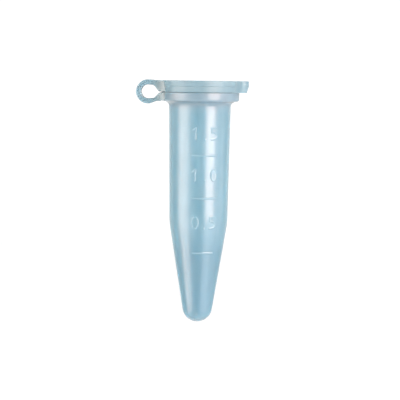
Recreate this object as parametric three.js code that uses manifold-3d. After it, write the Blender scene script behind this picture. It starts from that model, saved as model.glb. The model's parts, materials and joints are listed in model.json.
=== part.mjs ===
// A 1.5 ml microcentrifuge tube with its snap lid closed: a tapered vessel with a mouth collar,
// a hinge strap bent into a loop, and a lid with a sealing plug and a thumb tab.
//
// Millimetres, +Z up along the tube's axis. z = 0 is the seat under the mouth collar, the face
// that hangs in a rack. The strap is on the -X side, the thumb tab on the +X side, and the
// graduations face -Y. The real tube is one moulding: each mesh is one working region of it,
// and neighbouring regions stand a named clearance apart.

import * as THREE from "three";
import { mergeVertices } from "three/addons/utils/BufferGeometryUtils.js";
import Module from "manifold-3d";

const wasm = await Module();
wasm.setup();

// ---- Driving dimensions ----

const SIDES = 64; // flats round every turned piece
const SEAM = 0.04; // clearance between neighbouring regions of the moulding

const BARREL_RADIUS = 5.26; // outside, at the seat
const BARREL_DRAFT = THREE.MathUtils.degToRad(0.83);
const BARREL_LENGTH = 20.7; // seat to the start of the cone
const VESSEL_DEPTH = 37.74; // seat to the lowest point
const TIP_RADIUS = 2.55; // outside of the rounded end
const SHOULDER_RADIUS = 16; // long blend from barrel to cone
const WALL = 0.88;
const MOUTH_CHAMFER = 0.25;

const COLLAR_REACH = 1.41; // past the barrel
const COLLAR_HEIGHT = 1.5;
const COLLAR_CHAMFER = 0.2;
const COLLAR_FILLET = 0.36; // under the collar, where it meets the barrel
const FILLET_STEPS = 5;

const LID_SEAT_GAP = 0.06; // closed lid over the collar
const PLATE_OVERHANG = 0.05; // past the collar
const PLATE_THICKNESS = 0.92;
const PLATE_CHAMFER = 0.15;
const RIM_INSET = 0.12; // behind the plate's edge
const RIM_WALL = 0.95;
const RIM_HEIGHT = 1.05;

const PLUG_DEPTH = 2.55; // below the collar's top face
const PLUG_WALL = 0.8;
const PLUG_ROOT_CLEARANCE = 0.14; // to the bore, at the collar's top face
const PLUG_BEAD_CLEARANCE = 0.06; // to the bore, at the sealing bead
const PLUG_TIP_MARGIN = 0.17; // to the bore, at the open end, as the lid swings up
const PLUG_BEAD_DEPTH = 0.8;

const TAB_REACH = 1.5; // past the plate's edge
const TAB_WIDTH = 6.2;
const TAB_CORNER = 1.3;
const TAB_UNDERCUT = 0.3; // how far the tab's lower edge is drawn in

const STRAP_WIDTH = 4.6;
const STRAP_THICKNESS = 0.86;
const STRAP_DIP = 0.43; // lower run's outer face below the seat
const STRAP_PROUD = 0.1; // upper run's outer face above the lid
const LOOP_STANDOFF = 2.18; // collar's edge to the middle of the loop
const LOOP_HINGES = 3;
const HINGE_GAP = 0.05; // half the clearance between two links, at their hinge line
const NOTCH_MARGIN = THREE.MathUtils.degToRad(3);
const GUSSET_LENGTH = 1.15; // along the strap, from the edge it braces
const GUSSET_FOOT = 0.25; // how far its steep end stands out from that edge
const GUSSET_TOE = 0.1; // its depth where it runs out into the strap
const GUSSET_GAP = 0.15; // from the parting face of the collar or the lid
const ROOT_OVERLAP = 1; // how deep a root's blank runs in before it is cut to the round edge
const ARC_STEPS = 6;

const MARK_RELIEF = 0.13;
const MARK_CENTRE = THREE.MathUtils.degToRad(-79); // direction of the graduations, from +X
const LINE_ARC = THREE.MathUtils.degToRad(52);
const LINE_HEIGHT = 0.42;
const NUMERAL_HEIGHT = 2.3;
const NUMERAL_WIDTH = 1.4;
const NUMERAL_STROKE = 0.34;
const NUMERAL_SPREAD = THREE.MathUtils.degToRad(36); // between the two figures
const OUTLINE_STEP = 0.3; // longest edge of a numeral's outline

// Each graduation: the volume it marks, its line's depth below the seat, its numeral's depth.
const GRADUATIONS = [
  { name: "1_5", figures: ["1", "5"], line: 9.0, numeral: 5.35 },
  { name: "1_0", figures: ["1", "0"], line: 16.2, numeral: 12.3 },
  { name: "0_5", figures: ["0", "5"], line: 25.6, numeral: 20.4 },
];

// ---- Colours ----

const POLYPROPYLENE = { color: 0x9fc4d2, roughness: 0.32, metalness: 0 };
const POLYPROPYLENE_LID = { color: 0xb4ccd6, roughness: 0.38, metalness: 0 };
const POLYPROPYLENE_MARK = { color: 0xc4dbe4, roughness: 0.45, metalness: 0 };

// ---- Sizes worked out from the driving dimensions ----

const TIP_CENTRE = TIP_RADIUS - VESSEL_DEPTH;
const COLLAR_RADIUS = BARREL_RADIUS + COLLAR_REACH;
const PLATE_RADIUS = COLLAR_RADIUS + PLATE_OVERHANG;
const RIM_RADIUS = PLATE_RADIUS - RIM_INSET;
const SEAT_TO_LID = COLLAR_HEIGHT + LID_SEAT_GAP;
const PLATE_BOTTOM = SEAT_TO_LID + RIM_HEIGHT;
const LID_TOP = PLATE_BOTTOM + PLATE_THICKNESS;
const HALF_STRAP = STRAP_THICKNESS / 2;
const LOWER_RUN = HALF_STRAP - STRAP_DIP;
const UPPER_RUN = LID_TOP + STRAP_PROUD - HALF_STRAP;
const LOOP_RADIUS = (UPPER_RUN - LOWER_RUN) / 2; // to the middle of the strap
const LOOP_X = -(COLLAR_RADIUS + LOOP_STANDOFF);
const LOOP_Z = (UPPER_RUN + LOWER_RUN) / 2;
const HINGE_TURN = Math.PI / LOOP_HINGES;

// ---- Solids ----

// Turns a closed three.js geometry into a manifold-3d solid.
function toSolid(geometry) {
  const bare = geometry.clone();
  bare.deleteAttribute("normal");
  bare.deleteAttribute("uv");
  const merged = mergeVertices(bare, 1e-4);
  return new wasm.Manifold(
    new wasm.Mesh({
      numProp: 3,
      vertProperties: merged.attributes.position.array,
      triVerts: new Uint32Array(merged.index.array),
    }),
  );
}

// Turns a manifold-3d solid into a three.js geometry.
function toGeometry(solid) {
  const mesh = solid.getMesh();
  const geometry = new THREE.BufferGeometry();
  geometry.setAttribute("position", new THREE.BufferAttribute(mesh.vertProperties, 3));
  geometry.setIndex(new THREE.BufferAttribute(mesh.triVerts, 1));
  geometry.computeVertexNormals();
  return geometry;
}

// A profile of [radius, z] points turned round the Z axis.
function turned(profile) {
  const points = profile.map(([radius, z]) => new THREE.Vector2(radius, z));
  return new THREE.LatheGeometry(points, SIDES).rotateX(Math.PI / 2);
}

// A turned ring: its profile runs anticlockwise, seen with the radius to the right.
function turnedRing(profile) {
  return turned([...profile, profile[0]]);
}

// An outline of [x, z] points carried across the width in Y, centred on y = 0.
function acrossY(outline, width) {
  const shape = new THREE.Shape(outline.map(([x, z]) => new THREE.Vector2(x, z)));
  const geometry = new THREE.ExtrudeGeometry(shape, { depth: width, bevelEnabled: false });
  return geometry.rotateX(Math.PI / 2).translate(0, width / 2, 0);
}

// A plan outline of [x, y] points carried up from z = low to z = high.
function upZ(shape, low, high) {
  const options = { depth: high - low, bevelEnabled: false, curveSegments: ARC_STEPS };
  return new THREE.ExtrudeGeometry(shape, options).translate(0, 0, low);
}

// A round post on the Z axis, used to cut a hollow for a round neighbour.
function post(radius, low, high) {
  return turned([
    [0, low],
    [radius, low],
    [radius, high],
    [0, high],
  ]);
}

// ---- The vessel's wall, as profiles ----

// Half angle of the cone: the line from the barrel's end that touches the rounded end.
function coneAngle() {
  const endRadius = BARREL_RADIUS - BARREL_LENGTH * Math.tan(BARREL_DRAFT);
  const rise = -BARREL_LENGTH - TIP_CENTRE;
  const reach = Math.hypot(endRadius, rise);
  return Math.acos(TIP_RADIUS / reach) - Math.atan2(rise, endRadius);
}

// The wall's profile, moved inwards by the inset, from the lowest point up to the given height.
function wallProfile(inset, top) {
  const cone = coneAngle();
  const tipRadius = TIP_RADIUS - inset;
  const profile = [[0, TIP_CENTRE - tipRadius]];
  const tipSteps = 8;
  for (let i = 1; i <= tipSteps; i++) {
    const angle = (i / tipSteps) * (Math.PI / 2 - cone);
    profile.push([tipRadius * Math.sin(angle), TIP_CENTRE - tipRadius * Math.cos(angle)]);
  }
  const [endRadius, endZ] = profile.at(-1);
  const topRadius = BARREL_RADIUS - inset / Math.cos(BARREL_DRAFT);
  // Where the cone's line meets the barrel's line.
  const climb =
    (topRadius - endRadius + endZ * Math.tan(BARREL_DRAFT)) /
    (Math.tan(cone) - Math.tan(BARREL_DRAFT));
  const corner = [endRadius + climb * Math.tan(cone), endZ + climb];
  const blendRadius = SHOULDER_RADIUS - inset;
  const turn = cone - BARREL_DRAFT;
  const setback = blendRadius * Math.tan(turn / 2);
  const start = [corner[0] - setback * Math.sin(cone), corner[1] - setback * Math.cos(cone)];
  const centre = [
    start[0] - blendRadius * Math.cos(cone),
    start[1] + blendRadius * Math.sin(cone),
  ];
  const blendSteps = 4;
  for (let i = 0; i <= blendSteps; i++) {
    const angle = cone - (i / blendSteps) * turn;
    profile.push([
      centre[0] + blendRadius * Math.cos(angle),
      centre[1] - blendRadius * Math.sin(angle),
    ]);
  }
  profile.push([topRadius + top * Math.tan(BARREL_DRAFT), top]);
  return profile;
}

// Radius of the wall at a height, read along its profile.
function wallRadius(profile, z) {
  const above = profile.findIndex((point) => point[1] >= z);
  const [r1, z1] = profile[above];
  const [r0, z0] = profile[above - 1];
  return r0 + ((z - z0) / (z1 - z0)) * (r1 - r0);
}

const OUTER_WALL = wallProfile(0, COLLAR_HEIGHT);
const BORE_WALL = wallProfile(WALL, COLLAR_HEIGHT);

// ---- Tube ----

function tubeBody() {
  const mouth = wallRadius(BORE_WALL, COLLAR_HEIGHT);
  const bore = BORE_WALL.slice(0, -1);
  const lip = [
    [wallRadius(BORE_WALL, COLLAR_HEIGHT - MOUTH_CHAMFER), COLLAR_HEIGHT - MOUTH_CHAMFER],
    [mouth + MOUTH_CHAMFER, COLLAR_HEIGHT],
  ];
  return turned([...OUTER_WALL, ...lip.reverse(), ...bore.reverse()]);
}

function mouthCollar() {
  const inner = wallRadius(OUTER_WALL, COLLAR_HEIGHT) + SEAM;
  const fillet = [];
  for (let i = 0; i <= FILLET_STEPS; i++) {
    const angle = (i / FILLET_STEPS) * (Math.PI / 2);
    fillet.push([
      inner + SEAM + COLLAR_FILLET * (1 - Math.cos(angle)),
      -COLLAR_FILLET * (1 - Math.sin(angle)),
    ]);
  }
  return turnedRing([
    [inner, -COLLAR_FILLET],
    ...fillet,
    [COLLAR_RADIUS - COLLAR_CHAMFER, 0],
    [COLLAR_RADIUS, COLLAR_CHAMFER],
    [COLLAR_RADIUS, COLLAR_HEIGHT],
    [inner, COLLAR_HEIGHT],
  ]);
}

// A wedge with its edge on the axis that covers the arc of the graduations.
function lineWedge(low, high) {
  const reach = 2 * BARREL_RADIUS;
  const half = LINE_ARC / 2;
  const shape = new THREE.Shape();
  shape.moveTo(0, 0);
  shape.lineTo(reach * Math.cos(MARK_CENTRE - half), reach * Math.sin(MARK_CENTRE - half));
  shape.lineTo(reach * Math.cos(MARK_CENTRE + half), reach * Math.sin(MARK_CENTRE + half));
  shape.closePath();
  return upZ(shape, low, high);
}

// A raised line that follows the wall round, at a depth below the seat.
function graduationLine(depth) {
  const low = -depth - LINE_HEIGHT / 2;
  const high = -depth + LINE_HEIGHT / 2;
  const ring = turnedRing([
    [wallRadius(OUTER_WALL, low) + SEAM, low],
    [wallRadius(OUTER_WALL, low) + MARK_RELIEF, low],
    [wallRadius(OUTER_WALL, high) + MARK_RELIEF, high],
    [wallRadius(OUTER_WALL, high) + SEAM, high],
  ]);
  return toGeometry(toSolid(ring).intersect(toSolid(lineWedge(low - 1, high + 1))));
}

// Adds points along an outline's straight edges, so that it bends smoothly round the wall.
function subdivided(outline) {
  return outline.flatMap((point, i) => {
    const next = outline[(i + 1) % outline.length];
    const steps = Math.max(1, Math.ceil(point.distanceTo(next) / OUTLINE_STEP));
    return Array.from({ length: steps }, (_, k) => point.clone().lerp(next, k / steps));
  });
}

// The outline of a stroke of even width along a line of points.
function stroke(points) {
  const side = (sign) =>
    points.map((point, i) => {
      const before = points[Math.max(0, i - 1)];
      const after = points[Math.min(points.length - 1, i + 1)];
      const along = after.clone().sub(before).normalize();
      const into = point.clone().sub(before).normalize();
      const mitre = i === 0 ? 1 : Math.max(0.7, along.dot(into));
      const normal = new THREE.Vector2(-along.y, along.x);
      return point.clone().addScaledVector(normal, (sign * NUMERAL_STROKE) / 2 / mitre);
    });
  return [...side(-1), ...side(1).reverse()];
}

function figureOne() {
  const right = NUMERAL_STROKE / 2;
  const flag = NUMERAL_HEIGHT * 0.16;
  const outline = [
    [right, -NUMERAL_HEIGHT / 2],
    [right, NUMERAL_HEIGHT / 2],
    [-right, NUMERAL_HEIGHT / 2],
    [-right - flag, NUMERAL_HEIGHT / 2 - flag],
    [-right - flag, NUMERAL_HEIGHT / 2 - flag - NUMERAL_STROKE],
    [-right, NUMERAL_HEIGHT / 2 - NUMERAL_STROKE - flag / 2],
    [-right, -NUMERAL_HEIGHT / 2],
  ];
  return new THREE.Shape(subdivided(outline.map(([x, y]) => new THREE.Vector2(x, y))));
}

function figureZero() {
  const shape = new THREE.Shape();
  shape.absellipse(0, 0, NUMERAL_WIDTH / 2, NUMERAL_HEIGHT / 2, 0, 2 * Math.PI, false);
  const hole = new THREE.Path();
  const innerWidth = NUMERAL_WIDTH / 2 - NUMERAL_STROKE;
  const innerHeight = NUMERAL_HEIGHT / 2 - NUMERAL_STROKE;
  hole.absellipse(0, 0, innerWidth, innerHeight, 0, 2 * Math.PI, true);
  shape.holes.push(hole);
  return shape;
}

function figureFive() {
  const halfWidth = (NUMERAL_WIDTH - NUMERAL_STROKE) / 2;
  const halfHeight = (NUMERAL_HEIGHT - NUMERAL_STROKE) / 2;
  const bowl = halfHeight * 0.62;
  const points = [
    new THREE.Vector2(halfWidth, halfHeight),
    new THREE.Vector2(-halfWidth, halfHeight),
    new THREE.Vector2(-halfWidth, -halfHeight + 2 * bowl),
  ];
  const bowlSteps = 10;
  for (let i = 1; i <= bowlSteps; i++) {
    const angle = Math.PI / 2 - (i / bowlSteps) * Math.PI;
    const reach = 2 * halfWidth * Math.cos(angle);
    points.push(new THREE.Vector2(reach - halfWidth, bowl * Math.sin(angle) - halfHeight + bowl));
  }
  return new THREE.Shape(subdivided(stroke(points)));
}

function decimalPoint() {
  const shape = new THREE.Shape();
  const drop = (NUMERAL_HEIGHT - NUMERAL_STROKE) / 2;
  shape.absarc(0, -drop, NUMERAL_STROKE * 0.62, 0, 2 * Math.PI, false);
  return shape;
}

const FIGURES = { 0: figureZero, 1: figureOne, 5: figureFive, ".": decimalPoint };

// A raised figure bent round the wall: its width runs round the tube and its height up it.
function raisedFigure(figure, direction, depth) {
  const relief = MARK_RELIEF - SEAM;
  const options = { depth: relief, bevelEnabled: false, curveSegments: 10 };
  const geometry = new THREE.ExtrudeGeometry(FIGURES[figure](), options);
  const position = geometry.attributes.position;
  const middleRadius = wallRadius(OUTER_WALL, -depth);
  for (let i = 0; i < position.count; i++) {
    const z = position.getY(i) - depth;
    const angle = direction + position.getX(i) / middleRadius;
    const radius = wallRadius(OUTER_WALL, z) + SEAM + position.getZ(i);
    position.setXYZ(i, radius * Math.cos(angle), radius * Math.sin(angle), z);
  }
  return geometry;
}

// ---- Hinge strap ----

// A point on the loop, at a turn round it from its lower run and a distance from its middle.
function onLoop(turn, radius) {
  return [LOOP_X - radius * Math.sin(turn), LOOP_Z - radius * Math.cos(turn)];
}

// The strap's points from one turn to another on one of its faces.
function loopArc(from, to, radius) {
  return Array.from({ length: ARC_STEPS + 1 }, (_, i) =>
    onLoop(from + ((to - from) * i) / ARC_STEPS, radius),
  );
}

// Turn at which the n-th hinge line stands, counted from the tube.
function hingeAt(n) {
  return HINGE_TURN * (n + 0.5);
}

// How far an end stands back from its hinge line: at the strap's outer face by a notch, so that
// the faces close up as the loop unbends, and at its inner face by the gap alone.
const NOTCH_REACH = HINGE_GAP + HALF_STRAP * Math.tan(HINGE_TURN / 2 + NOTCH_MARGIN);
const OUTER_BACK = Math.asin(NOTCH_REACH / (LOOP_RADIUS + HALF_STRAP));
const MIDDLE_BACK = Math.asin(HINGE_GAP / LOOP_RADIUS);
const INNER_BACK = Math.asin(HINGE_GAP / (LOOP_RADIUS - HALF_STRAP));

function strapLink(n) {
  const from = hingeAt(n);
  const to = hingeAt(n + 1);
  return acrossY(
    [
      ...loopArc(from + OUTER_BACK, to - OUTER_BACK, LOOP_RADIUS + HALF_STRAP),
      onLoop(to - MIDDLE_BACK, LOOP_RADIUS),
      ...loopArc(to - INNER_BACK, from + INNER_BACK, LOOP_RADIUS - HALF_STRAP),
      onLoop(from + MIDDLE_BACK, LOOP_RADIUS),
    ],
    STRAP_WIDTH,
  );
}

// The strap's end on the collar: the start of the loop, a straight run and a gusset.
function tubeStrapRoot() {
  const end = hingeAt(0);
  const edge = -COLLAR_RADIUS;
  const bury = edge + ROOT_OVERLAP;
  const outline = [
    [bury, 0],
    [edge - GUSSET_LENGTH / 2, 0],
    ...loopArc(0, end - OUTER_BACK, LOOP_RADIUS + HALF_STRAP),
    onLoop(end - MIDDLE_BACK, LOOP_RADIUS),
    ...loopArc(end - INNER_BACK, 0, LOOP_RADIUS - HALF_STRAP),
    [edge - GUSSET_LENGTH, LOWER_RUN + HALF_STRAP + GUSSET_TOE],
    [edge - GUSSET_FOOT, COLLAR_HEIGHT - GUSSET_GAP],
    [bury, COLLAR_HEIGHT - GUSSET_GAP],
  ];
  const root = toSolid(acrossY(outline, STRAP_WIDTH));
  return toGeometry(root.subtract(toSolid(post(COLLAR_RADIUS + SEAM, -1, COLLAR_HEIGHT + 1))));
}

// The strap's end on the lid: a gusset, a straight run and the end of the loop.
function lidStrapRoot() {
  const end = hingeAt(LOOP_HINGES - 1);
  const edge = -PLATE_RADIUS;
  const bury = edge + ROOT_OVERLAP;
  const outline = [
    [bury, SEAT_TO_LID + GUSSET_GAP],
    [edge - GUSSET_FOOT, SEAT_TO_LID + GUSSET_GAP],
    [edge - GUSSET_LENGTH, UPPER_RUN - HALF_STRAP - GUSSET_TOE],
    ...loopArc(Math.PI, end + INNER_BACK, LOOP_RADIUS - HALF_STRAP),
    onLoop(end + MIDDLE_BACK, LOOP_RADIUS),
    ...loopArc(end + OUTER_BACK, Math.PI, LOOP_RADIUS + HALF_STRAP),
    [edge - GUSSET_LENGTH / 2, LID_TOP],
    [bury, LID_TOP],
  ];
  const root = toSolid(acrossY(outline, STRAP_WIDTH));
  return toGeometry(root.subtract(toSolid(post(PLATE_RADIUS + SEAM, 0, LID_TOP + 1))));
}

// ---- Lid ----

function lidPlate() {
  return turned([
    [0, PLATE_BOTTOM],
    [PLATE_RADIUS, PLATE_BOTTOM],
    [PLATE_RADIUS, LID_TOP - PLATE_CHAMFER],
    [PLATE_RADIUS - PLATE_CHAMFER, LID_TOP],
    [0, LID_TOP],
  ]);
}

function lidRim() {
  return turnedRing([
    [RIM_RADIUS - RIM_WALL, SEAT_TO_LID],
    [RIM_RADIUS, SEAT_TO_LID],
    [RIM_RADIUS, PLATE_BOTTOM - SEAM],
    [RIM_RADIUS - RIM_WALL, PLATE_BOTTOM - SEAM],
  ]);
}

function sealingPlug() {
  const boreAt = (depth) => wallRadius(BORE_WALL, COLLAR_HEIGHT - depth);
  const root = boreAt(0) - PLUG_ROOT_CLEARANCE;
  const bead = boreAt(PLUG_BEAD_DEPTH) - PLUG_BEAD_CLEARANCE;
  // As the lid starts to swing, the plug's far end moves outwards by this much.
  const drop = LOOP_Z - COLLAR_HEIGHT + PLUG_DEPTH;
  const swing = drop ** 2 / (2 * (boreAt(PLUG_DEPTH) - LOOP_X));
  const tip = boreAt(PLUG_DEPTH) - swing - PLUG_TIP_MARGIN;
  const inner = tip - PLUG_WALL;
  return turnedRing([
    [inner, COLLAR_HEIGHT - PLUG_DEPTH],
    [tip, COLLAR_HEIGHT - PLUG_DEPTH],
    [bead, COLLAR_HEIGHT - PLUG_BEAD_DEPTH],
    [root, COLLAR_HEIGHT - PLUG_BEAD_DEPTH / 2],
    [root, PLATE_BOTTOM - SEAM],
    [inner, PLATE_BOTTOM - SEAM],
  ]);
}

function thumbTab() {
  const reach = PLATE_RADIUS + TAB_REACH;
  const half = TAB_WIDTH / 2;
  const plan = new THREE.Shape();
  plan.moveTo(0, -half);
  plan.lineTo(reach - TAB_CORNER, -half);
  plan.absarc(reach - TAB_CORNER, -half + TAB_CORNER, TAB_CORNER, -Math.PI / 2, 0, false);
  plan.absarc(reach - TAB_CORNER, half - TAB_CORNER, TAB_CORNER, 0, Math.PI / 2, false);
  plan.lineTo(0, half);
  plan.closePath();
  const side = [
    [0, SEAT_TO_LID],
    [reach - TAB_UNDERCUT, SEAT_TO_LID],
    [reach, PLATE_BOTTOM],
    [reach, LID_TOP - PLATE_CHAMFER],
    [reach - PLATE_CHAMFER, LID_TOP],
    [0, LID_TOP],
  ];
  const tab = toSolid(upZ(plan, 0, LID_TOP + 1)).intersect(toSolid(acrossY(side, TAB_WIDTH + 1)));
  return toGeometry(tab.subtract(toSolid(post(PLATE_RADIUS + SEAM, 0, LID_TOP + 1))));
}

// ---- Assembly ----

function piece(name, geometry, finish) {
  const mesh = new THREE.Mesh(geometry, new THREE.MeshStandardMaterial(finish));
  mesh.name = name;
  return mesh;
}

function tube() {
  const group = new THREE.Group();
  group.add(piece("tube_body", tubeBody(), POLYPROPYLENE));
  group.add(piece("mouth_collar", mouthCollar(), POLYPROPYLENE));
  group.add(piece("strap_root_tube", tubeStrapRoot(), POLYPROPYLENE));
  for (const { name, figures, line, numeral } of GRADUATIONS) {
    group.add(piece("graduation_line_" + name, graduationLine(line), POLYPROPYLENE_MARK));
    const characters = [figures[0], ".", figures[1]];
    const labels = ["units", "point", "tenths"];
    characters.forEach((character, i) => {
      const direction = MARK_CENTRE + ((i - 1) * NUMERAL_SPREAD) / 2;
      const geometry = raisedFigure(character, direction, numeral);
      group.add(piece("numeral_" + name + "_" + labels[i], geometry, POLYPROPYLENE_MARK));
    });
  }
  return group;
}

function strap() {
  const group = new THREE.Group();
  for (let n = 0; n < LOOP_HINGES - 1; n++) {
    group.add(piece("strap_link_" + (n + 1), strapLink(n), POLYPROPYLENE));
  }
  return group;
}

function lid() {
  const group = new THREE.Group();
  group.add(piece("lid_plate", lidPlate(), POLYPROPYLENE_LID));
  group.add(piece("lid_rim", lidRim(), POLYPROPYLENE_LID));
  group.add(piece("sealing_plug", sealingPlug(), POLYPROPYLENE_LID));
  group.add(piece("thumb_tab", thumbTab(), POLYPROPYLENE_LID));
  group.add(piece("strap_root_lid", lidStrapRoot(), POLYPROPYLENE_LID));
  return group;
}

const microcentrifugeTube = new THREE.Group();
microcentrifugeTube.add(tube(), strap(), lid());

export default microcentrifugeTube;
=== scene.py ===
"""A 1.5 ml microcentrifuge tube, lid closed, dressed as one moulding of translucent polypropylene.

Metres, in the row frame: +Z up the tube's axis, z = 0 at the seat under the mouth collar, the
strap towards -X, the thumb tab towards +X and the graduations facing -Y. The tube, the lid and
the three lengths of the strap are each one closed skin, worked out as a surface of two
parameters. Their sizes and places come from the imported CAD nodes.
"""

import json
import logging
import math
from collections.abc import Iterable, Sequence
from dataclasses import dataclass
from enum import Enum
from typing import Any

import bpy
import numpy as np
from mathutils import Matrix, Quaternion, Vector


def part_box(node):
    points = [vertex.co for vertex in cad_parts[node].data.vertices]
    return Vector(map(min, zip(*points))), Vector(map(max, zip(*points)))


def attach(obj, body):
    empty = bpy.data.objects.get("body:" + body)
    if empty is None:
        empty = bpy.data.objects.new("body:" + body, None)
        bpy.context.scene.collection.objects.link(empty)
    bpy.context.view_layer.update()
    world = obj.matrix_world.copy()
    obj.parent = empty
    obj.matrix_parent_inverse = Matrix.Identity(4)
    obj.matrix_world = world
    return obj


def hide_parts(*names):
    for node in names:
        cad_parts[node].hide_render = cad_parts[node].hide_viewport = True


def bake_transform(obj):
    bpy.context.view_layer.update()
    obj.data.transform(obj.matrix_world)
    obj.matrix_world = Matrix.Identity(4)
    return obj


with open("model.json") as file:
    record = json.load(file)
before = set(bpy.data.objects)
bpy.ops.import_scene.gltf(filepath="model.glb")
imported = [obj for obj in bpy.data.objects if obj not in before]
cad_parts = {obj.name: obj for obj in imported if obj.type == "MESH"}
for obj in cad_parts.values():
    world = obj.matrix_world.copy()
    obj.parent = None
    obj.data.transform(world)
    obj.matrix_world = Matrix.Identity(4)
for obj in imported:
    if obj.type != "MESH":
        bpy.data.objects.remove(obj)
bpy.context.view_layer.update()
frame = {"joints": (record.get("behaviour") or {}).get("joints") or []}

MM = 0.001
LOG = logging.getLogger("microcentrifuge_tube")


class Body(Enum):
    """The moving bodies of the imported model, from the tube to the lid."""

    TUBE = "tube"
    NEAR_TUBE = "strap_near_tube"
    NEAR_LID = "strap_near_lid"
    LID = "lid"


class Slot(Enum):
    """The record's material slots."""

    TUBE = "tube_polypropylene"
    LID = "lid_polypropylene"
    STRAP = "strap_polypropylene"


# ---- Arithmetic on curves ----


def unit(vector: np.ndarray) -> np.ndarray:
    """The vector at length 1."""
    return vector / np.linalg.norm(vector)


def smoothstep(low: float, high: float, value: np.ndarray) -> np.ndarray:
    """3t^2 - 2t^3, where t runs from 0 at low to 1 at high."""
    t = np.clip((value - low) / (high - low), 0.0, 1.0)
    return t * t * (3.0 - 2.0 * t)


def rounded(corners: Sequence[tuple[float, float, float]], steps: int = 6) -> np.ndarray:
    """A broken line whose corners are rounded.

    A corner between two sides that open at an angle 2h is replaced by the arc of its radius r
    that touches both sides, at r / tan(h) from the corner.

    Args:
        corners: (a, b, radius) of each corner; the two ends keep theirs sharp.
        steps: Straight pieces to an arc.

    Returns:
        The points, as rows of (a, b).
    """
    points = np.array([corner[:2] for corner in corners], float)
    parts = [points[:1]]
    for before, here, after, (_, _, radius) in zip(
        points[:-2], points[1:-1], points[2:], corners[1:-1]
    ):
        back, ahead = unit(before - here), unit(after - here)
        half = math.acos(np.clip(back @ ahead, -1.0, 1.0)) / 2
        if radius <= 0 or half > math.pi / 2 - 1e-3:
            parts.append(here[None])
            continue
        centre = here + unit(back + ahead) * radius / math.sin(half)
        start = here + back * radius / math.tan(half) - centre
        end = here + ahead * radius / math.tan(half) - centre
        turn = math.pi - 2 * half
        t = np.linspace(0.0, 1.0, steps + 1)[:, None]
        arc = np.sin((1 - t) * turn) * start + np.sin(t * turn) * end
        parts.append(centre + arc / math.sin(turn))
    parts.append(points[-1:])
    return np.vstack(parts)


def filled_in(line: np.ndarray, pitch: float) -> np.ndarray:
    """The line with points added evenly along every side longer than the pitch.

    Args:
        line: Points, as rows of two coordinates.
        pitch: Longest side that is left alone.

    Returns:
        The points of the finer line.
    """
    sides = np.linalg.norm(np.diff(line, axis=0), axis=1)
    counts = np.maximum(1, np.ceil(sides / pitch)).astype(int)
    along = np.concatenate(
        [i + np.arange(count) / count for i, count in enumerate(counts)] + [[len(sides)]]
    )
    index = np.arange(len(line))
    return np.column_stack([np.interp(along, index, line[:, k]) for k in range(2)])


def graded(
    low: float, high: float, coarse: float, fine: float, zones: Iterable[tuple[float, float]]
) -> np.ndarray:
    """Values from low to high, closely spaced inside the zones and widely between them.

    Args:
        low: First value.
        high: Last value.
        coarse: Spacing outside the zones.
        fine: Spacing inside the zones.
        zones: (low, high) of each zone, in rising order and apart from each other.

    Returns:
        The values, rising.
    """
    knots, pitches = [low], []
    for start, end in zones:
        knots += [start, end]
        pitches += [coarse, fine]
    knots.append(high)
    pitches.append(coarse)
    parts = [
        np.linspace(a, b, max(1, math.ceil((b - a) / pitch)), endpoint=False)
        for a, b, pitch in zip(knots[:-1], knots[1:], pitches)
    ]
    return np.concatenate(parts + [[high]])


def distance_to_path(across: np.ndarray, up: np.ndarray, path: np.ndarray) -> np.ndarray:
    """How far each point of a grid is from a broken line.

    For a side from p to q, the nearest point is p + t(q - p) with t held between 0 and 1; the
    distance is the least over the sides.

    Args:
        across: First coordinate of each grid point.
        up: Second coordinate of each grid point.
        path: The line's points, as rows.

    Returns:
        The distances, in the grid's shape.
    """
    start, side = path[:-1], np.diff(path, axis=0)
    here = np.stack([across, up], axis=-1)[..., None, :]
    t = ((here - start) * side).sum(-1) / (side * side).sum(-1)
    nearest = start + np.clip(t, 0.0, 1.0)[..., None] * side
    return np.linalg.norm(here - nearest, axis=-1).min(-1)


# ---- Skins ----


def turned(radii: np.ndarray, heights: np.ndarray, directions: np.ndarray) -> np.ndarray:
    """A surface round the Z axis: x = r cos a, y = r sin a, z = h.

    Args:
        radii: r of each row, or of each row and direction.
        heights: h of each row.
        directions: a of each column.

    Returns:
        The grid's points, in rows, columns and coordinates.
    """
    r = radii.reshape(len(heights), -1) * np.ones(len(directions))
    z = np.repeat(heights[:, None], len(directions), axis=1)
    return np.stack([r * np.cos(directions), r * np.sin(directions), z], axis=-1)


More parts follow.
